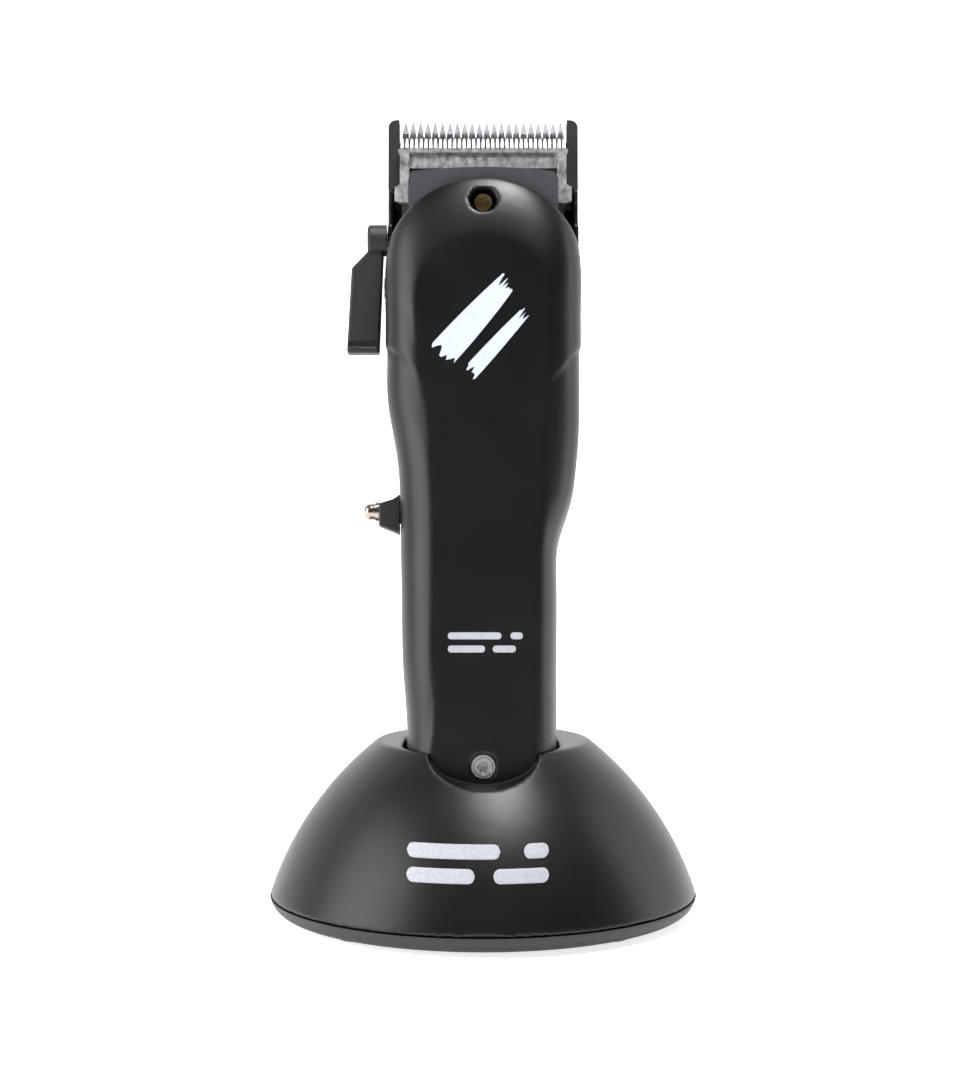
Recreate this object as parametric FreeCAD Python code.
import FreeCAD, Part
import math
import os

from FreeCAD import Placement, Rotation, Vector

# A cordless hair clipper standing in its charging stand. Millimetres, +Z up, front towards -Y.
# The clipper is modelled upright in its own frame: X across, Y in depth (front negative) and
# Z up the body from its lower end. It is then leaned back and set down in the stand.

# Fits
SLIDE_GAP = 0.15      # between flat faces that slide on each other
RUN_GAP = 0.1         # radial, shaft in its bearing
BODY_GAP = 0.3        # between pieces that only pass each other
WELL_GAP = 0.5        # each side of the clipper in its well
SEAM = 0.2            # visible line between two covers

# Clipper body
LEAN = 8.0            # degrees, back from upright
FACET_FRONT = 16.5    # flat front face, ahead of the parting plane
EDGE_START = 5.0      # depth at which the sides start to round over, front and rear
REAR_LOW = 12.5       # rear face behind the parting plane, at the lower end
REAR_HIGH = 17.0      # the same at the head
WALL = 2.0            # cover walls
CREASE_STEP = 0.5     # how far the head stands proud of the handle at the creases
HANDLE_SINK = 0.04    # facet of the handle under the facet of the head
CREST_ANGLE = 73.0    # degrees of the side rounding that are there before the facet cuts it
REAR_INSET = 7.0      # width of the rounding at the rear

# Height up the body, then half widths: outer left, outer right, facet left, facet right.
BODY_STATIONS = [
    (12.0, 19.0, 18.0, 12.2, 12.8),
    (34.0, 19.8, 18.1, 12.2, 13.2),
    (56.0, 20.3, 18.2, 12.2, 13.4),
    (65.0, 20.5, 18.6, 12.2, 13.6),
    (70.5, 20.5, 20.2, 12.3, 13.7),
    (76.0, 20.7, 21.9, 12.4, 13.9),
    (84.0, 21.1, 23.1, 12.8, 14.2),
    (92.0, 22.3, 23.8, 13.2, 14.6),
    (101.0, 23.8, 24.0, 14.1, 15.1),
    (112.0, 24.0, 24.0, 15.8, 15.8),
    (125.0, 24.0, 24.0, 15.8, 15.8),
]
CROWN_BASE = 135.0    # the outer arch springs from here
CROWN_TOP = 160.5
FACET_CROWN_BASE = 126.7
FACET_CROWN_TOP = 140.2
FOOT_JOIN = 6.0       # the lower end closes below this height
FACET_FOOT_JOIN = 8.0
FACET_FOOT = 3.5
LID_ARCH_RADIUS = 26.0
LID_ARCH_TOP = 156.5
LID_ARCH_SPRING = 140.3  # the lid is full width up to here
CREASE_LEFT = [(-30.0, 119.6), (-24.4, 114.9), (-15.9, 105.6), (-14.2, 100.3)]
CREASE_RIGHT = [(15.2, 101.3), (16.5, 104.7), (19.3, 108.0), (24.4, 114.6), (30.0, 119.6)]

# Head of the rear housing, and the pocket in it that holds the blades
HEAD_HALF = 24.2
HEAD_TOP = 156.8
HEAD_FOOT = 122.0
HEAD_CORNER = 5.0
SHOULDER_FOOT = 147.0  # above this the shoulders stand back, behind the cutter
DECK_TOP = 133.0
DECK = 2.0
POCKET_HALF = 22.9

# Nose block
NOSE_HALF = 18.7
NOSE_FRONT = 9.0
NOSE_FOOT = 144.0
NOSE_TOP = 159.6
NOSE_ARCH = 135.0     # radius of its gently arched top edge
NOSE_CORNER = 3.5
NOSE_WALL = 1.8
NOSE_BACK = 1.2

# Blades, cutter in front of the still blade
CUTTER_FRONT = 2.0
BLADE_THICK = 2.0
CUTTER_HALF = 21.6
CUTTER_TEETH = 35
CUTTER_TIP = 169.7
CUTTER_ROOT = 166.9
CUTTER_BAR = 1.0      # height of the bar under the teeth
CUTTER_WEB_FOOT = 162.0
CUTTER_CROSS = 2.2    # height of the cross piece that joins the legs
LEG_INNER = 18.8
LEG_OUTER = 21.2
LEG_FOOT = 153.0
EAR_HALF = 22.5
EAR_HEIGHT = 5.0
STROKE = 1.0          # each way
STILL_TEETH = 22
STILL_HALF = 20.7
STILL_TIP = 174.3
STILL_ROOT = 170.2
STILL_FOOT = 149.0
TAPER_TRAVEL = 2.6
TAPER_SWING = 40.0    # degrees of lever for that travel
CARRIER_THICK = 2.5
CARRIER_HALF = 19.0
CARRIER_FOOT = 138.0
CARRIER_TOP = 164.3
BLADE_SCREW_X = 9.0
BLADE_SCREW_Z = 154.0

# Blade guard
GUARD_WALL = 2.8
GUARD_TOP = 174.9
GUARD_FLOOR_TOP = 170.1
GUARD_FLOOR = 2.0
GUARD_CORNER = 2.0
GUARD_TONGUE = 5.0

# Taper lever
LEVER_Y = 3.3
LEVER_Z = 143.4
LEVER_HUB = 4.0       # radius
LEVER_OUT = 29.3
PADDLE_DEPTH = 5.0
PADDLE_WIDTH = 8.2
PADDLE_LENGTH = 29.1
PADDLE_SPLAY = 2.2    # degrees outwards
SHAFT_RADIUS = 2.0
CAM_PIN = 1.0
LEVER_INNER = HEAD_HALF + BODY_GAP + CREASE_STEP + 0.1   # clears the lid's side
STOP_Z = 131.2        # stop button under the lever
STOP_RADIUS = 2.6
STOP_OUT = 0.9
STOP_STEM = 1.0

# Drive
MOTOR_RADIUS = 10.2
MOTOR_FOOT = 88.0
MOTOR_TOP = 117.0
MOTOR_Y = 1.0
MOTOR_SHAFT = 1.0
ECCENTRIC_RADIUS = 4.0
ECCENTRIC_FOOT = 119.5
ECCENTRIC_TOP = 123.5
DRIVE_PIN = 1.0
DRIVE_PIN_TOP = 130.0
TINE = 2.2
TINE_FOOT = 125.0
TINE_SPAN = 2 * STROKE + DRIVE_PIN + STROKE + TINE + BODY_GAP

# Switch
SWITCH_Z = 73.0
SWITCH_TRAVEL = 5.0
SWITCH_TRACK = 20.6   # flat that the slider runs on, from the middle
SWITCH_OUT = 26.0
RING_THICK = 1.0
RING_RADIUS = 2.5
SWITCH_LOW = 68.2
SWITCH_HIGH = 78.0
SWITCH_DEPTH = 7.0
KNOB_RADIUS = 2.05
KNOB_OUT = 29.8
KNOB_STEM = 1.2

# Screws of the lid
LID_SCREW_Z = 150.3
LID_SCREW_FLOOR = -8.2
LID_SCREW_WELL = 3.3
FOOT_SCREW_Z = 10.5
FOOT_SCREW_RING = 2.9
SCREW_HEAD = 2.2
SCREW_SHANK = 1.25
SCREW_SEAT = 1.6      # depth of the lower screw's seat under the facet
INSERT_RADIUS = 2.1   # threaded inserts

# Battery, board and charging
CELL_RADIUS = 9.0
CELL_FOOT = 15.5
CELL_LENGTH = 50.0
BOARD_THICK = 1.6
BOARD_HALF = 9.0
BOARD_FOOT = 17.0
BOARD_TOP = 84.0
CONTACT_SPACING = 10.0
CONTACT_RADIUS = 2.2
CONTACT_Y = 3.0
PIN_RADIUS = 1.0

# Stand
STAND_TOP = 43.8
STAND_TOP_RADIUS = 26.4
SEAM_HEIGHT = 5.0
SEAM_RADIUS = 53.5
DOME_SAGITTA = 3.5
STAND_WALL = 2.4
BASE_FOOT_RADIUS = 49.5
FOOT_HEIGHT = 1.0
FOOT_RADIUS = 5.0
FOOT_CIRCLE = 42.0
SCOOP_HALF = 13.2
SCOOP_DEPTH = 7.6
WELL_WALL = 1.6
WELL_STEPS = 8        # facets of each rounded corner of the well
CLIPPER_Y = -8.0      # where the clipper's lower end stands
CLIPPER_Z = 27.5
SOCKET_HALF = 6.0
SOCKET_HEIGHT = 8.0
SOCKET_BORE = 2.7
SOCKET_PIN = 0.7

FRONT = Vector(0, -1, 0)
BACK = Vector(0, 1, 0)
UP = Vector(0, 0, 1)
LEFT = Vector(-1, 0, 0)
nodes = {}


# Plain helpers

def block(x0, x1, y0, y1, z0, z1):
    return Part.makeBox(x1 - x0, y1 - y0, z1 - z0, Vector(x0, y0, z0))


def rod(radius, length, start, along):
    return Part.makeCylinder(radius, length, Vector(*start), along)


def ring(outer, inner, length, start, along):
    return rod(outer, length, start, along).cut(rod(inner, length, start, along))


def plate(points, y0, y1):
    """A flat plate whose outline is given across and up, from depth y0 to y1."""
    corners = [Vector(x, y0, z) for x, z in points]
    face = Part.Face(Part.makePolygon(corners + corners[:1]))
    return face.extrude(Vector(0, y1 - y0, 0))


def rounded_plate(x0, x1, z0, z1, radius, y0, y1):
    """A plate with its two upper corners rounded."""
    solid = block(x0, x1, y0, y1, z0, z1)
    edges = [edge for edge in solid.Edges
             if abs(edge.CenterOfMass.z - z1) < 1e-6 and edge.BoundBox.YLength > 1e-6
             and edge.BoundBox.XLength < 1e-6]
    return solid.makeFillet(radius, edges)


def round_upright_edges(solid, radius, keep):
    edges = [edge for edge in solid.Edges
             if edge.BoundBox.XLength < 1e-6 and edge.BoundBox.YLength < 1e-6 and keep(edge.CenterOfMass)]
    return solid.makeFillet(radius, edges)


def mirrored(shape):
    return shape.mirror(Vector(0, 0, 0), Vector(1, 0, 0))


# Body outline

def end_points(left, right, join, tip, power):
    """Points of the closing curve from the right side round the tip to the left side."""
    points = []
    for step in range(1, 8):
        angle = math.pi * step / 8.0
        across = math.copysign(abs(math.cos(angle)) ** (2.0 / power), math.cos(angle))
        along = math.sin(angle) ** (2.0 / power)
        half = right if across > 0 else left
        points.append((across * half, join + (tip - join) * along))
    return points


def outline(grow, facet):
    """Outline of the body, silhouette or front facet, as four runs: right, crown, left, sole."""
    column = 3 if facet else 1
    right = [(row[column + 1] + grow, row[0]) for row in BODY_STATIONS]
    left = [(-row[column] - grow, row[0]) for row in BODY_STATIONS]
    top_base = FACET_CROWN_BASE if facet else CROWN_BASE
    top = (FACET_CROWN_TOP if facet else CROWN_TOP) + grow
    foot_join = FACET_FOOT_JOIN if facet else FOOT_JOIN
    foot = (FACET_FOOT if facet else 0.0) - grow
    right.append((right[-1][0], top_base))
    left.append((left[-1][0], top_base))
    crown = end_points(-left[-1][0], right[-1][0], top_base, top, 2.0)
    sole = end_points(-left[0][0], right[0][0], foot_join, foot, 2.6)
    crown = [right[-1]] + crown + [left[-1]]
    sole = [left[0]] + sole[::-1] + [right[0]]
    return [right, crown, left[::-1], sole]


def closed_curve(runs):
    """One smooth closed spline through the four runs, cut into four edges where they meet."""
    points = [Vector(*point) for run in runs for point in run[:-1]]
    curve = Part.BSplineCurve()
    curve.interpolate(Points=points, PeriodicFlag=True)
    curve.setNotPeriodic()
    joints = [curve.FirstParameter]
    joints += [curve.parameter(Vector(*run[0])) for run in runs[1:]]
    joints.append(curve.LastParameter)
    edges = []
    for low, high in zip(joints, joints[1:]):
        piece = curve.copy()
        piece.segment(low, high)
        edges.append(piece.toShape())
    return Part.Wire(edges)


def front_block(grow, facet_depth, overrun):
    """Front half of the body, from past the parting plane to the facet."""
    outer = outline(grow, False)
    inner = outline(grow, True)
    start = math.radians(CREST_ANGLE)
    wires = []
    for step in range(5):
        angle = start * step / 4.0
        inset = (1.0 - math.cos(angle)) / (1.0 - math.cos(start))
        rise = math.sin(angle) / math.sin(start)
        y = -EDGE_START - rise * (facet_depth - EDGE_START)
        wires.append(closed_curve([[(a[0] + inset * (b[0] - a[0]), y, a[1] + inset * (b[1] - a[1]))
                                    for a, b in zip(*pair)] for pair in zip(outer, inner)]))
    dome = Part.makeLoft(wires, True, False)
    side = Part.Face(wires[0]).extrude(Vector(0, EDGE_START + overrun, 0))
    return dome.fuse(side)


def rear_face(z):
    return REAR_LOW + (REAR_HIGH - REAR_LOW) * z / HEAD_TOP


def rear_block(grow, overrun):
    """Rear half of the body, from past the parting plane to the slanted rear face."""
    outer = outline(grow, False)
    wires = []
    for step in range(5):
        angle = math.radians(CREST_ANGLE) * step / 4.0
        inset = (1.0 - math.cos(angle)) * REAR_INSET
        rise = math.sin(angle) / math.sin(math.radians(CREST_ANGLE))
        runs = []
        for run in outer:
            points = []
            for x, z in run:
                x_in = x * (1.0 - inset / HEAD_HALF)
                z_in = inset + z * (1.0 - 2.0 * inset / CROWN_TOP)
                depth = EDGE_START + rise * (rear_face(z_in) + grow - EDGE_START)
                points.append((x_in, depth, z_in))
            runs.append(points)
        wires.append(closed_curve(runs))
    dome = Part.makeLoft(wires, True, False)
    side = Part.Face(wires[0]).extrude(Vector(0, -EDGE_START - overrun, 0))
    return dome.fuse(side)


def above_creases():
    """Everything above the two creases, as one prism through the depth."""
    def curve(points):
        spline = Part.BSplineCurve()
        spline.interpolate([Vector(x, -40, z) for x, z in points])
        return spline.toShape()

    top = 190.0
    corners = [Vector(CREASE_LEFT[-1][0], -40, CREASE_LEFT[-1][1]),
               Vector(CREASE_RIGHT[0][0], -40, CREASE_RIGHT[0][1]),
               Vector(CREASE_RIGHT[-1][0], -40, CREASE_RIGHT[-1][1]),
               Vector(CREASE_RIGHT[-1][0], -40, top),
               Vector(CREASE_LEFT[0][0], -40, top),
               Vector(CREASE_LEFT[0][0], -40, CREASE_LEFT[0][1])]
    edges = [curve(CREASE_LEFT), Part.makeLine(corners[0], corners[1]), curve(CREASE_RIGHT),
             Part.makeLine(corners[2], corners[3]), Part.makeLine(corners[3], corners[4]),
             Part.makeLine(corners[4], corners[5])]
    return Part.Face(Part.Wire(edges)).extrude(Vector(0, 60, 0))


def width_at(z, column):
    """One of the body's four half widths at a height, read between the stations."""
    for low, high in zip(BODY_STATIONS, BODY_STATIONS[1:]):
        if low[0] <= z <= high[0]:
            return low[column] + (high[column] - low[column]) * (z - low[0]) / (high[0] - low[0])
    return BODY_STATIONS[0][column]


# Clipper covers

def switch_cut():
    """The flat that the slider runs on, and the slot that its stem passes through."""
    low = SWITCH_LOW - 1.0
    high = SWITCH_HIGH + SWITCH_TRAVEL + 1.0
    flat = block(-40, -SWITCH_TRACK, -SWITCH_DEPTH / 2 - 1, SWITCH_DEPTH / 2 + 1, low, high)
    slot = block(-SWITCH_TRACK - 1, -SWITCH_TRACK + WALL + 2, -1.6, 1.6,
                 SWITCH_Z - 2.0 - BODY_GAP, SWITCH_Z + 2.0 + SWITCH_TRAVEL + BODY_GAP)
    return flat.fuse(slot)


def nose_outline(gap, y0, y1):
    sides = rounded_plate(-NOSE_HALF - gap, NOSE_HALF + gap, NOSE_FOOT - gap, NOSE_TOP + gap,
                          NOSE_CORNER + gap, y0, y1)
    return sides.common(rod(NOSE_ARCH + gap, y1 - y0, (0, y0, NOSE_TOP - NOSE_ARCH), BACK))


def make_lid():
    handle = front_block(0.0, FACET_FRONT - HANDLE_SINK, 1.0)
    head = front_block(CREASE_STEP, FACET_FRONT, 2.0).common(above_creases())
    outer = handle.fuse(head)
    outer = outer.cut(block(-60, 60, -60, -FACET_FRONT + 2 * HANDLE_SINK, -20, 200))
    arch_centre = LID_ARCH_TOP - LID_ARCH_RADIUS
    arch = rod(LID_ARCH_RADIUS, 60, (0, -50, arch_centre), BACK)
    arch = arch.fuse(block(-40, 40, -50, 10, -10, LID_ARCH_SPRING))
    core = front_block(-WALL, FACET_FRONT - WALL, 3.0)
    lid = outer.common(arch).cut(core)
    lid = lid.cut(block(-60, 60, -SEAM / 2, 60, -20, 200))
    boss = rod(LID_SCREW_WELL + 1.2, 20, (0, LID_SCREW_FLOOR + 2.0, LID_SCREW_Z), FRONT)
    foot_boss = rod(4.0, 30, (0, -SEAM, FOOT_SCREW_Z), FRONT)
    lid = lid.fuse(boss.fuse(foot_boss).common(outer).common(arch))
    well = rod(LID_SCREW_WELL, 30, (0, LID_SCREW_FLOOR, LID_SCREW_Z), FRONT)
    hole = rod(SCREW_SHANK + 0.2, 60, (0, 20, LID_SCREW_Z), FRONT)
    foot_well = rod(FOOT_SCREW_RING + 0.1, 20, (0, -FACET_FRONT + SCREW_SEAT, FOOT_SCREW_Z), FRONT)
    foot_hole = rod(SCREW_SHANK + 0.2, 40, (0, 10, FOOT_SCREW_Z), FRONT)
    lid = lid.cut(well).cut(hole).cut(foot_well).cut(foot_hole)
    panel = nose_outline(BODY_GAP, -NOSE_FRONT - BODY_GAP, 5)
    panel = panel.cut(rod(LID_SCREW_WELL + 1.2, 40, (0, 10, LID_SCREW_Z), FRONT))
    lid = lid.cut(panel).cut(switch_cut())
    return largest(lid)


def largest(shape):
    solids = sorted(shape.Solids, key=lambda solid: solid.Volume)
    return solids[-1].removeSplitter()


def make_rear_housing():
    outer = rear_block(0.0, 1.0).common(block(-60, 60, -5, 60, -20, HEAD_TOP - 1))
    head = plate_along_x([(0, HEAD_FOOT), (rear_face(HEAD_FOOT) + HANDLE_SINK, HEAD_FOOT),
                          (rear_face(HEAD_TOP) + HANDLE_SINK, HEAD_TOP), (0, HEAD_TOP)],
                         -HEAD_HALF, HEAD_HALF)
    rear_edges = [edge for edge in head.Edges if edge.BoundBox.XLength < 1e-6 and edge.CenterOfMass.y > 12
                  and edge.BoundBox.ZLength > 10]
    head = head.makeFillet(HEAD_CORNER, rear_edges)
    core = rear_block(-WALL, 3.0)
    core = core.common(block(-60, 60, -5, 60, -20, DECK_TOP - DECK))
    pocket_back = CUTTER_FRONT + 2 * BLADE_THICK + SLIDE_GAP + CARRIER_THICK + SLIDE_GAP
    pocket = block(-POCKET_HALF, POCKET_HALF, -5, pocket_back, DECK_TOP, HEAD_TOP + 20)
    step = block(-60, 60, -5, CUTTER_FRONT + BLADE_THICK + BODY_GAP, SHOULDER_FOOT, HEAD_TOP + 20)
    fork = block(-TINE_SPAN - STROKE - 1, TINE_SPAN + STROKE + 1, -5, pocket_back - 1,
                 DECK_TOP - DECK - 1, DECK_TOP + 1)
    housing = outer.fuse(head).cut(core)
    post = rod(4.0, 13, (0, SEAM / 2, FOOT_SCREW_Z), BACK).common(outer)
    housing = housing.fuse(post)
    housing = housing.cut(pocket).cut(step).cut(fork).cut(switch_cut())
    housing = housing.cut(rod(SHAFT_RADIUS + RUN_GAP, 10, (-HEAD_HALF - 2, LEVER_Y, LEVER_Z), -LEFT))
    housing = housing.cut(block(-60, 60, -5, SEAM / 2, -20, SHOULDER_FOOT))
    housing = housing.cut(rod(INSERT_RADIUS, 7, (0, -1, FOOT_SCREW_Z), BACK))
    for x in (-CONTACT_SPACING / 2, CONTACT_SPACING / 2):
        housing = housing.cut(rod(CONTACT_RADIUS, 8, (x, CONTACT_Y, -1), UP))
    return largest(housing.cut(rod(STOP_STEM, STOP_OUT, (-HEAD_HALF, LEVER_Y, STOP_Z), -LEFT)))


def make_nose_block():
    outer = nose_outline(0, -NOSE_FRONT, NOSE_BACK)
    inner = block(-NOSE_HALF + NOSE_WALL, NOSE_HALF - NOSE_WALL, -NOSE_FRONT + NOSE_WALL, NOSE_BACK + 1,
                  NOSE_FOOT - 1, NOSE_TOP - NOSE_WALL)
    shell = outer.cut(inner)
    boss_back = NOSE_BACK - 1.0
    boss = rod(4.2, boss_back - LID_SCREW_FLOOR - 2.1, (0, LID_SCREW_FLOOR + 2.1, LID_SCREW_Z), BACK)
    rib = block(-NOSE_HALF + 1, NOSE_HALF - 1, LID_SCREW_FLOOR + 2.1, boss_back,
                LID_SCREW_Z - 1.2, LID_SCREW_Z + 1.2)
    seat = (0, LID_SCREW_FLOOR + 2.0, LID_SCREW_Z)
    shell = shell.cut(rod(LID_SCREW_WELL + 1.2 + BODY_GAP, 20, seat, FRONT))
    shell = shell.fuse(boss).fuse(rib)
    return largest(shell.cut(rod(INSERT_RADIUS, 3.0 - LID_SCREW_FLOOR, (0, 3.0, LID_SCREW_Z), FRONT)))


def star(radius, depth, start, along):
    """The six-lobed driving recess of a screw."""
    recess = rod(radius * 0.78, depth, start, along)
    for step in range(6):
        angle = math.radians(60 * step)
        lobe_x = start[0] + 0.72 * radius * math.cos(angle)
        lobe_z = start[2] + 0.72 * radius * math.sin(angle)
        recess = recess.fuse(rod(radius * 0.28, depth, (lobe_x, start[1], lobe_z), along))
    return recess


def lid_screw(seat_y, z, length):
    head = rod(SCREW_HEAD, 2.0, (0, seat_y, z), FRONT)
    shank = rod(SCREW_SHANK, length, (0, seat_y, z), BACK)
    return head.fuse(shank).cut(star(1.45, 1.2, (0, seat_y - 0.8, z), FRONT))


def make_fasteners():
    nodes["lid_screw_top"] = lid_screw(LID_SCREW_FLOOR, LID_SCREW_Z, 6.0)
    seat = -FACET_FRONT + SCREW_SEAT
    nodes["lid_screw_bottom"] = lid_screw(seat, FOOT_SCREW_Z, 18.0)
    nodes["lid_screw_ring"] = ring(FOOT_SCREW_RING, SCREW_HEAD + 0.1, 1.5, (0, seat, FOOT_SCREW_Z), FRONT)
    upper = ring(INSERT_RADIUS, SCREW_SHANK, 3.6, (0, LID_SCREW_FLOOR + 2.6, LID_SCREW_Z), BACK)
    lower = ring(INSERT_RADIUS, SCREW_SHANK, 5.0, (0, 0.8, FOOT_SCREW_Z), BACK)
    nodes["threaded_inserts"] = Part.makeCompound([upper, lower])


# Blades

def comb(half, teeth, root, tip, root_share, belly_share, tip_width):
    """Outline of a row of leaf-shaped teeth, from the lower left round the tips to the lower right."""
    pitch = 2.0 * half / teeth
    points = []
    for index in range(teeth):
        middle = -half + pitch * (index + 0.5)
        base = pitch * root_share / 2.0
        belly = pitch * belly_share / 2.0
        middle_height = (root + tip) / 2.0
        points += [(middle - base, root), (middle - belly, middle_height), (middle - tip_width / 2, tip),
                   (middle + tip_width / 2, tip), (middle + belly, middle_height), (middle + base, root)]
    return points


def make_cutter():
    back = CUTTER_FRONT + BLADE_THICK
    teeth = comb(CUTTER_HALF - 0.4, CUTTER_TEETH, CUTTER_ROOT, CUTTER_TIP, 0.72, 0.66, 0.55)
    bar_foot = CUTTER_ROOT - CUTTER_BAR
    bar = plate([(-CUTTER_HALF, bar_foot), (-CUTTER_HALF, CUTTER_ROOT)] + teeth +
                [(CUTTER_HALF, CUTTER_ROOT), (CUTTER_HALF, bar_foot)], CUTTER_FRONT, back)
    web = block(-LEG_INNER - 0.5, LEG_INNER + 0.5, CUTTER_FRONT + 0.6, back, CUTTER_WEB_FOOT, bar_foot + 0.5)
    cross = block(-LEG_INNER - 0.5, LEG_INNER + 0.5, CUTTER_FRONT, back, LEG_FOOT, LEG_FOOT + CUTTER_CROSS)
    leg = block(LEG_INNER, LEG_OUTER, CUTTER_FRONT, back, LEG_FOOT, bar_foot + 0.6)
    ear = plate([(LEG_OUTER - 0.5, LEG_FOOT), (EAR_HALF, LEG_FOOT + 0.6),
                 (EAR_HALF, LEG_FOOT + EAR_HEIGHT - 1), (LEG_OUTER - 0.5, LEG_FOOT + EAR_HEIGHT)],
                CUTTER_FRONT, back)
    cutter = bar.fuse(web).fuse(cross)
    for side in (leg.fuse(ear), mirrored(leg.fuse(ear))):
        cutter = cutter.fuse(side)
    bevel = plate_along_x([(CUTTER_FRONT - 1, CUTTER_ROOT + 1.2), (CUTTER_FRONT - 1, CUTTER_TIP + 1),
                           (back - 0.7, CUTTER_TIP + 1), (back - 0.9, CUTTER_TIP),
                           (CUTTER_FRONT, CUTTER_ROOT + 0.2)], -40, 40)
    return largest(cutter.cut(bevel))


def plate_along_x(points, x0, x1):
    """A prism across the body whose outline is given in depth and height."""
    corners = [Vector(x0, y, z) for y, z in points]
    face = Part.Face(Part.makePolygon(corners + corners[:1]))
    return face.extrude(Vector(x1 - x0, 0, 0))


def make_drive_fork():
    inner = 2 * STROKE + DRIVE_PIN + STROKE + BODY_GAP
    back = CUTTER_FRONT + BLADE_THICK
    tine = block(inner, inner + TINE, MOTOR_Y - 3.0, back, TINE_FOOT, DRIVE_PIN_TOP + 1.4)
    bridge = block(-inner - TINE, inner + TINE, CUTTER_FRONT, back, DRIVE_PIN_TOP + 0.4, DRIVE_PIN_TOP + 3.4)
    stem = block(-3.0, 3.0, CUTTER_FRONT, back, DRIVE_PIN_TOP + 3.0, LEG_FOOT)
    fork = bridge.fuse(stem).fuse(tine).fuse(mirrored(tine))
    return largest(fork)


def make_still_blade():
    front = CUTTER_FRONT + BLADE_THICK + SLIDE_GAP
    back = front + BLADE_THICK
    teeth = comb(STILL_HALF, STILL_TEETH, STILL_ROOT, STILL_TIP, 0.94, 0.7, 0.3)
    blade = plate([(-STILL_HALF, STILL_FOOT)] + teeth + [(STILL_HALF, STILL_FOOT)], front, back)
    bevel = plate_along_x([(front - 1, STILL_ROOT + 1), (front, STILL_ROOT + 1),
                           (front + 1.3, STILL_TIP + 0.1), (front - 1, STILL_TIP + 1)], -40, 40)
    blade = blade.cut(bevel)
    for x in (-BLADE_SCREW_X, BLADE_SCREW_X):
        blade = blade.cut(rod(SCREW_SHANK, 6, (x, front + 0.6, BLADE_SCREW_Z), BACK))
    guide_foot = LEG_FOOT + CUTTER_CROSS + TAPER_TRAVEL + BODY_GAP
    nodes["blade_guide"] = block(-15, 15, CUTTER_FRONT + 0.2, front, guide_foot, CUTTER_WEB_FOOT - 1.2)
    return largest(blade)


def make_carrier():
    front = CUTTER_FRONT + 2 * BLADE_THICK + SLIDE_GAP
    back = front + CARRIER_THICK
    carrier = block(-CARRIER_HALF, CARRIER_HALF, front, back, CARRIER_FOOT, CARRIER_TOP)
    carrier = carrier.cut(block(-12, 12, front - 1, back + 1, CARRIER_FOOT - 1, 146))
    notch = CAM_PIN + SLIDE_GAP
    carrier = carrier.cut(block(-CARRIER_HALF - 1, -CARRIER_HALF + 4.5, front - 1, back + 1,
                                LEVER_Z - notch, LEVER_Z + notch))
    screws = []
    for x in (-BLADE_SCREW_X, BLADE_SCREW_X):
        carrier = carrier.cut(rod(SCREW_SHANK + 0.2, 8, (x, front - 1, BLADE_SCREW_Z), BACK))
        carrier = carrier.cut(rod(SCREW_HEAD + 0.2, 4, (x, back - 1.3, BLADE_SCREW_Z), BACK))
        head = rod(SCREW_HEAD, 1.2, (x, back - 1.3, BLADE_SCREW_Z), BACK)
        length = back - front + BLADE_THICK - 2.0
        shank = rod(SCREW_SHANK, length, (x, back - 1.3, BLADE_SCREW_Z), FRONT)
        screws.append(head.fuse(shank).cut(star(1.3, 0.8, (x, back - 0.9, BLADE_SCREW_Z), BACK)))
    nodes["blade_screws"] = Part.makeCompound(screws)
    return largest(carrier)


def make_tension_spring():
    """A sprung wire hoop whose two fingers press the cutter on the still blade."""
    radius = 0.6
    y = CUTTER_FRONT - SLIDE_GAP - radius
    low = 146.5
    spring = rod(radius, 24.0, (-12.0, y, low), -LEFT)
    for x in (-12.0, 12.0):
        spring = spring.fuse(rod(radius, LEG_FOOT + 1.5 - low, (x, y, low), UP))
        spring = spring.fuse(Part.makeSphere(radius, Vector(x, y, low)))
    return largest(spring)


# Guard

def make_guard():
    front = CUTTER_FRONT + BLADE_THICK + BODY_GAP
    floor_front = CUTTER_FRONT + 2 * BLADE_THICK + SLIDE_GAP + CARRIER_THICK + BODY_GAP
    back = floor_front + GUARD_FLOOR
    foot = HEAD_TOP + BODY_GAP
    inner = HEAD_HALF - GUARD_WALL
    floor = block(-HEAD_HALF + 0.5, HEAD_HALF - 0.5, floor_front, back, foot, GUARD_FLOOR_TOP)
    wall = block(inner, HEAD_HALF, front, back, foot, GUARD_TOP)
    edges = [edge for edge in wall.Edges
             if abs(edge.CenterOfMass.z - GUARD_TOP) < 1e-6 and abs(edge.CenterOfMass.x - HEAD_HALF) < 1e-6]
    wall = wall.makeFillet(GUARD_CORNER, edges)
    tongue = block(inner - 1.0, POCKET_HALF - BODY_GAP, front + BLADE_THICK + 0.6, floor_front - 0.4,
                   foot - GUARD_TONGUE, foot + 3)
    ribs = block(-16, 16, back, back + 0.8, foot + 3.0, foot + 4.2)
    ribs = ribs.fuse(block(-16, 16, back, back + 0.8, foot + 6.0, foot + 7.2))
    side = wall.fuse(tongue)
    return largest(floor.fuse(side).fuse(mirrored(side)).fuse(ribs))


# Lever

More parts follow.
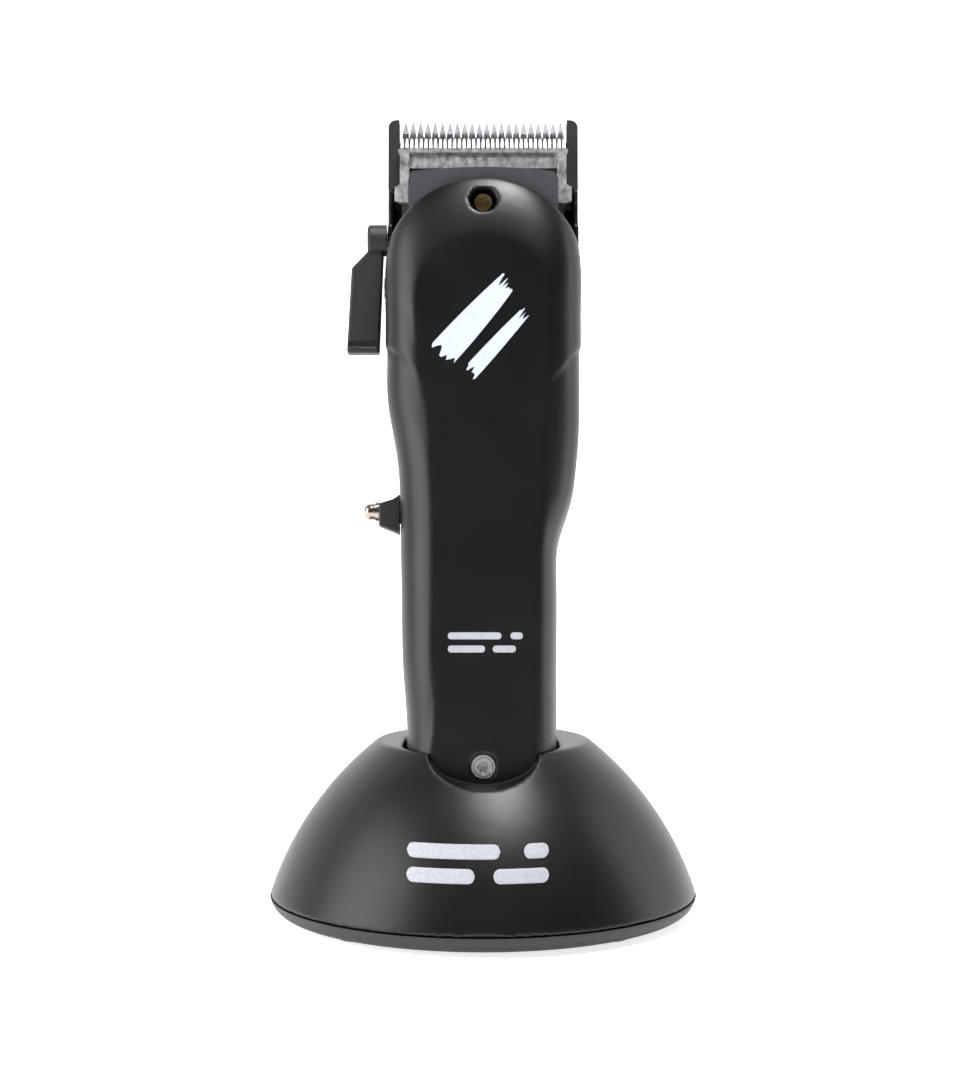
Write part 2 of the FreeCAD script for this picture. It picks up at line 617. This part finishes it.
def make_lever():
    inner = LEVER_INNER
    hub_in = HEAD_HALF + BODY_GAP
    hub = rod(LEVER_HUB, LEVER_OUT - hub_in, (-hub_in, LEVER_Y, LEVER_Z), LEFT)
    edges = [edge for edge in hub.Edges if abs(edge.CenterOfMass.x + LEVER_OUT) < 1e-6]
    hub = hub.makeFillet(0.8, edges)
    splay = math.tan(math.radians(PADDLE_SPLAY)) * PADDLE_LENGTH
    paddle_in = inner
    low = LEVER_Z - PADDLE_LENGTH
    points = [(-paddle_in, LEVER_Z + 1.0), (-LEVER_OUT, LEVER_Z + 0.6), (-LEVER_OUT, LEVER_Z - 3.2),
              (-paddle_in - PADDLE_WIDTH, LEVER_Z - 7.4),
              (-paddle_in - PADDLE_WIDTH - splay, low), (-paddle_in - splay, low)]
    paddle = plate(points, LEVER_Y - PADDLE_DEPTH / 2, LEVER_Y + PADDLE_DEPTH / 2)
    paddle = paddle.makeFillet(0.7, [edge for edge in paddle.Edges if edge.CenterOfMass.z < LEVER_Z - 0.5])
    groove = block(-LEVER_OUT - 12, -inner - 1.4, LEVER_Y - PADDLE_DEPTH, LEVER_Y - PADDLE_DEPTH / 2 + 0.7,
                   low + 1.6, low + 3.1)
    lever = hub.fuse(paddle.cut(groove))
    return largest(lever.cut(rod(SHAFT_RADIUS, LEVER_OUT - hub_in - 1.2, (-hub_in, LEVER_Y, LEVER_Z), LEFT)))


def make_lever_shaft():
    outer = LEVER_OUT - 1.2
    arm_x = POCKET_HALF - BODY_GAP
    shaft = rod(SHAFT_RADIUS, outer - arm_x, (-arm_x, LEVER_Y, LEVER_Z), LEFT)
    reach = TAPER_TRAVEL / math.sin(math.radians(TAPER_SWING))
    arm = block(-arm_x, -arm_x + 1.6, LEVER_Y - 2.0, LEVER_Y + reach + CAM_PIN,
                LEVER_Z - 1.6, LEVER_Z + 1.6)
    pin_in = CARRIER_HALF - 2.5
    pin = rod(CAM_PIN, arm_x - pin_in, (-arm_x, LEVER_Y + reach, LEVER_Z), -LEFT)
    return largest(shaft.fuse(arm).fuse(pin))


def make_stop_button():
    """A steel button pressed into the side of the head, under the lever."""
    start = (-HEAD_HALF, LEVER_Y, STOP_Z)
    stem = rod(STOP_STEM, STOP_OUT, start, -LEFT)
    nodes["lever_stop_pin"] = rod(STOP_RADIUS, STOP_OUT, start, LEFT).fuse(stem)


# Drive

def make_drive():
    motor = rod(MOTOR_RADIUS, MOTOR_TOP - MOTOR_FOOT - 3, (0, MOTOR_Y, MOTOR_FOOT + 3), UP)
    neck = rod(3.2, 1.6, (0, MOTOR_Y, MOTOR_TOP), UP)
    bore = rod(MOTOR_SHAFT + RUN_GAP, 60, (0, MOTOR_Y, MOTOR_FOOT - 1), UP)
    nodes["motor_can"] = largest(motor.fuse(neck).cut(bore))
    cap = rod(MOTOR_RADIUS - 0.6, 3, (0, MOTOR_Y, MOTOR_FOOT), UP)
    nodes["motor_end_cap"] = cap.cut(rod(MOTOR_SHAFT + RUN_GAP, 3, (0, MOTOR_Y, MOTOR_FOOT + 0.8), UP))
    mount = block(-13, 13, MOTOR_Y - 11.5, MOTOR_Y + 10.5, MOTOR_TOP - 12, MOTOR_TOP - 4)
    mount = round_upright_edges(mount, 4.0, lambda point: True)
    nodes["motor_mount"] = mount.cut(rod(MOTOR_RADIUS, 40, (0, MOTOR_Y, MOTOR_FOOT), UP))
    shaft = rod(MOTOR_SHAFT, ECCENTRIC_TOP - MOTOR_FOOT - 1.6, (0, MOTOR_Y, MOTOR_FOOT + 1.2), UP)
    nodes["motor_shaft"] = shaft
    disc = rod(ECCENTRIC_RADIUS, ECCENTRIC_TOP - ECCENTRIC_FOOT, (0, MOTOR_Y, ECCENTRIC_FOOT), UP)
    disc = disc.cut(rod(MOTOR_SHAFT, ECCENTRIC_TOP - 0.4 - ECCENTRIC_FOOT, (0, MOTOR_Y, ECCENTRIC_FOOT), UP))
    weight = block(-5, 5, MOTOR_Y - 5, MOTOR_Y + 1, ECCENTRIC_FOOT - 1, ECCENTRIC_TOP - 1.6)
    disc = disc.cut(weight.cut(rod(2.4, 20, (0, MOTOR_Y, ECCENTRIC_FOOT - 2), UP)))
    nodes["eccentric"] = largest(disc)
    pin = rod(DRIVE_PIN, DRIVE_PIN_TOP - ECCENTRIC_TOP, (0, MOTOR_Y + STROKE, ECCENTRIC_TOP), UP)
    nodes["eccentric_pin"] = pin


# Switch

def make_switch():
    inner = SWITCH_TRACK + BODY_GAP
    half = SWITCH_DEPTH / 2
    wedge = plate([(-inner, SWITCH_LOW), (-SWITCH_OUT, SWITCH_LOW + 2.1), (-SWITCH_OUT, SWITCH_HIGH - 2.2),
                   (-inner - 1.6, SWITCH_HIGH - 1.1), (-inner, SWITCH_HIGH)], -half, half)
    slanted = [edge for edge in wedge.Edges if abs(abs(edge.CenterOfMass.y) - half) < 1e-6
               and edge.CenterOfMass.x < -inner - 0.5]
    wedge = wedge.makeFillet(0.5, slanted)
    stem = block(-inner - 1, -SWITCH_TRACK + WALL + 1.5, -1.3, 1.3, SWITCH_Z - 2.0, SWITCH_Z + 2.0)
    slider = wedge.fuse(stem)
    centre = SWITCH_Z + 0.9
    slider = slider.cut(rod(KNOB_STEM, 1.6, (-SWITCH_OUT, 0, centre), -LEFT))
    nodes["switch_slider"] = largest(slider)
    nodes["switch_ring"] = ring(RING_RADIUS, KNOB_STEM, RING_THICK, (-SWITCH_OUT, 0, centre), LEFT)
    knob_foot = SWITCH_OUT + RING_THICK
    knob = rod(KNOB_RADIUS, KNOB_OUT - knob_foot, (-knob_foot, 0, centre), LEFT)
    edges = [edge for edge in knob.Edges if abs(edge.CenterOfMass.x + KNOB_OUT) < 1e-6]
    knob = knob.makeFillet(1.5, edges)
    nodes["switch_knob"] = knob.fuse(rod(KNOB_STEM, RING_THICK + 1.6, (-knob_foot, 0, centre), -LEFT))
    body_x = -SWITCH_TRACK + WALL + 1.5 + BODY_GAP
    nodes["switch_body"] = block(body_x, body_x + 4.0, -3.5, 3.5, SWITCH_Z - 5, SWITCH_Z + SWITCH_TRAVEL + 4)


# Battery, board, contacts

def make_electrics():
    cell_y = -2.5
    nodes["battery_cell"] = rod(CELL_RADIUS, CELL_LENGTH, (0, cell_y, CELL_FOOT), UP)
    tabs = [block(-3, 3, cell_y - 5, cell_y + 5, CELL_FOOT - 0.4, CELL_FOOT),
            block(-3, 3, cell_y - 5, cell_y + 5, CELL_FOOT + CELL_LENGTH, CELL_FOOT + CELL_LENGTH + 0.4)]
    nodes["battery_tabs"] = Part.makeCompound(tabs)
    board_y = cell_y + CELL_RADIUS + 0.4
    board = block(-BOARD_HALF, BOARD_HALF, board_y, board_y + BOARD_THICK, BOARD_FOOT, BOARD_TOP)
    nodes["circuit_board"] = board
    pads = []
    for x in (-CONTACT_SPACING / 2, CONTACT_SPACING / 2):
        pads.append(rod(CONTACT_RADIUS, 4.6, (x, CONTACT_Y, 0.5), UP))
    nodes["charging_contacts"] = Part.makeCompound(pads)


# Stand

def dome_profile(shrink, top, bottom):
    """Turned profile of the shell: axis, top, curved flank, foot."""
    a = Vector(STAND_TOP_RADIUS - shrink * 0.7, 0, top)
    b = Vector(SEAM_RADIUS - shrink, 0, bottom)
    chord = b.sub(a)
    normal = Vector(-chord.z, 0, chord.x).normalize()
    middle = a.add(chord * 0.5).add(normal * DOME_SAGITTA)
    flank = Part.Arc(a, middle, b).toShape()
    wire = Part.Wire([Part.makeLine(Vector(0, 0, top), a), flank, Part.makeLine(b, Vector(0, 0, bottom)),
                      Part.makeLine(Vector(0, 0, bottom), Vector(0, 0, top))])
    return Part.Face(wire).revolve(Vector(0, 0, 0), UP, 360)


def scoop(grow):
    """The thumb scoop: an elliptical trough from the front of the dome to the well."""
    ellipse = Part.Ellipse(Vector(0, 0, 0), SCOOP_HALF + grow, SCOOP_DEPTH + grow)
    wire = Part.Wire(ellipse.toShape())
    solid = Part.Face(wire).extrude(Vector(0, 0, 60))
    solid.Placement = Placement(Vector(0, 0, STAND_TOP), Rotation(Vector(1, 0, 0), 90))
    return solid


def well_prism(grow, low, high):
    """The pocket for the handle: the body's section at the mouth of the well, with room round it."""
    mouth = (STAND_TOP - CLIPPER_Z) / math.cos(math.radians(LEAN)) + 2.0
    crest = math.radians(CREST_ANGLE)
    corners = []
    for side, column in ((1, 2), (-1, 1)):
        outer = width_at(mouth, column)
        facet = width_at(mouth, column + 2)
        front = []
        rear = []
        for step in range(WELL_STEPS + 1):
            angle = crest * step / WELL_STEPS
            rise = math.sin(angle) / math.sin(crest)
            inset = (1.0 - math.cos(angle)) / (1.0 - math.cos(crest))
            front.append(Vector(side * (outer + inset * (facet - outer)),
                                -EDGE_START - rise * (FACET_FRONT - EDGE_START), low))
            inset = (1.0 - math.cos(angle)) * REAR_INSET
            rear.append(Vector(side * outer * (1.0 - inset / HEAD_HALF),
                               EDGE_START + rise * (rear_face(mouth) - EDGE_START), low))
        run = front[::-1] + rear
        corners += run if side > 0 else run[::-1]
    wire = Part.makePolygon(corners + corners[:1]).makeOffset2D(WELL_GAP + grow)
    return Part.Face(wire).extrude(Vector(0, 0, high - low))


def placed(shape):
    moved = shape.copy()
    lean = Rotation(Vector(1, 0, 0), -LEAN)
    moved.Placement = Placement(Vector(0, CLIPPER_Y, CLIPPER_Z), lean).multiply(moved.Placement)
    return moved


def below_top(shape, top):
    return shape.common(block(-90, 90, -90, 90, -5, top))


def make_stand():
    outer = dome_profile(0.0, STAND_TOP, SEAM_HEIGHT + SEAM)
    cavity = dome_profile(STAND_WALL, STAND_TOP - STAND_WALL, SEAM_HEIGHT + SEAM - 1)
    cavity = cavity.cut(scoop(WELL_WALL))
    pocket = placed(well_prism(0.0, -SLIDE_GAP, 60))
    front_half = block(-90, 90, -90, CLIPPER_Y, 0, 90)
    shell = outer.cut(cavity).cut(scoop(0.0).common(front_half)).cut(pocket)
    liner = placed(well_prism(WELL_WALL, -WELL_WALL - SLIDE_GAP, 60))
    shell = shell.cut(below_top(liner, STAND_TOP - STAND_WALL))
    nodes["stand_shell"] = largest(shell)
    well = below_top(liner, STAND_TOP - STAND_WALL).cut(pocket).cut(scoop(0.0).common(front_half))
    for x in (-CONTACT_SPACING / 2, CONTACT_SPACING / 2):
        well = well.cut(placed(rod(PIN_RADIUS + RUN_GAP, 12, (x, CONTACT_Y, -6), UP)))
    nodes["stand_well"] = largest(well)
    pins = []
    for x in (-CONTACT_SPACING / 2, CONTACT_SPACING / 2):
        pin = rod(PIN_RADIUS, 5.4, (x, CONTACT_Y, -5.0), UP)
        pins.append(placed(pin))
    nodes["charging_pins"] = Part.makeCompound(pins)
    make_stand_base()


def make_stand_base():
    low = Vector(BASE_FOOT_RADIUS, 0, FOOT_HEIGHT)
    high = Vector(SEAM_RADIUS, 0, SEAM_HEIGHT)
    bulge = Vector(SEAM_RADIUS - 1.2, 0, FOOT_HEIGHT + 1.6)
    rim = Part.Arc(high, bulge, low).toShape()
    wire = Part.Wire([Part.makeLine(Vector(0, 0, SEAM_HEIGHT), high), rim,
                      Part.makeLine(low, Vector(0, 0, FOOT_HEIGHT)),
                      Part.makeLine(Vector(0, 0, FOOT_HEIGHT), Vector(0, 0, SEAM_HEIGHT))])
    base = Part.Face(wire).revolve(Vector(0, 0, 0), UP, 360)
    base = base.cut(rod(SEAM_RADIUS - STAND_WALL - 3, SEAM_HEIGHT, (0, 0, FOOT_HEIGHT + 2), UP))
    feet = []
    screws = []
    for step in range(4):
        angle = math.radians(45 + 90 * step)
        x = FOOT_CIRCLE * math.cos(angle)
        y = FOOT_CIRCLE * math.sin(angle)
        feet.append(rod(FOOT_RADIUS, FOOT_HEIGHT + 0.8, (x, y, 0), UP))
        base = base.cut(rod(FOOT_RADIUS, 0.8, (x, y, FOOT_HEIGHT), UP))
    for step in range(3):
        angle = math.radians(90 + 120 * step)
        x = 0.72 * FOOT_CIRCLE * math.cos(angle)
        y = 0.72 * FOOT_CIRCLE * math.sin(angle)
        base = base.cut(rod(SCREW_SHANK, 9, (x, y, 0), UP))
        base = base.cut(rod(SCREW_HEAD + 0.3, 1.2, (x, y, FOOT_HEIGHT - 0.2), UP))
        screws.append(rod(SCREW_HEAD, 0.9, (x, y, FOOT_HEIGHT + 0.1), UP)
                      .fuse(rod(SCREW_SHANK, 6.5, (x, y, FOOT_HEIGHT + 0.5), UP)))
    nodes["stand_base_plate"] = largest(base)
    nodes["stand_feet"] = Part.makeCompound(feet)
    nodes["stand_screws"] = Part.makeCompound(screws)
    floor = FOOT_HEIGHT + 2
    weight = ring(26.0, 6.0, 5.0, (0, 0, floor), UP)
    nodes["stand_weight"] = weight
    nodes["stand_circuit_board"] = block(-14, 14, -20, 6, floor + 5, floor + 6.6)
    socket_y = SEAM_RADIUS - STAND_WALL - 7
    socket = block(-SOCKET_HALF, SOCKET_HALF, socket_y - 8, SEAM_RADIUS + 4,
                   floor + 2.4, floor + 2.4 + SOCKET_HEIGHT)
    skin = dome_profile(0.25, STAND_TOP, SEAM_HEIGHT + SEAM)
    body = socket.common(skin)
    hole_z = floor + 2.4 + SOCKET_HEIGHT / 2
    body = body.cut(rod(SOCKET_BORE, 16, (0, SEAM_RADIUS + 4, hole_z), FRONT))
    body = body.fuse(rod(SOCKET_PIN, 9, (0, SEAM_RADIUS - 4, hole_z), FRONT))
    nodes["stand_inlet_socket"] = largest(body)
    nodes["stand_shell"] = largest(nodes["stand_shell"].cut(socket))


def main():
    os.makedirs("parts", exist_ok=True)
    nodes["lid"] = make_lid()
    nodes["rear_housing"] = make_rear_housing()
    nodes["nose_block"] = make_nose_block()
    make_fasteners()
    nodes["cutter_blade"] = make_cutter()
    nodes["drive_fork"] = make_drive_fork()
    nodes["still_blade"] = make_still_blade()
    nodes["blade_carrier"] = make_carrier()
    nodes["tension_spring"] = make_tension_spring()
    nodes["blade_guard"] = make_guard()
    nodes["taper_lever"] = make_lever()
    nodes["lever_shaft"] = make_lever_shaft()
    make_stop_button()
    make_drive()
    make_switch()
    make_electrics()
    for name in list(nodes):
        nodes[name] = placed(nodes[name])
    make_stand()
    for name, shape in nodes.items():
        shape.exportStep("parts/" + name + ".step")
        print(name, len(shape.Solids), round(shape.Volume, 1), shape.isValid())


main()
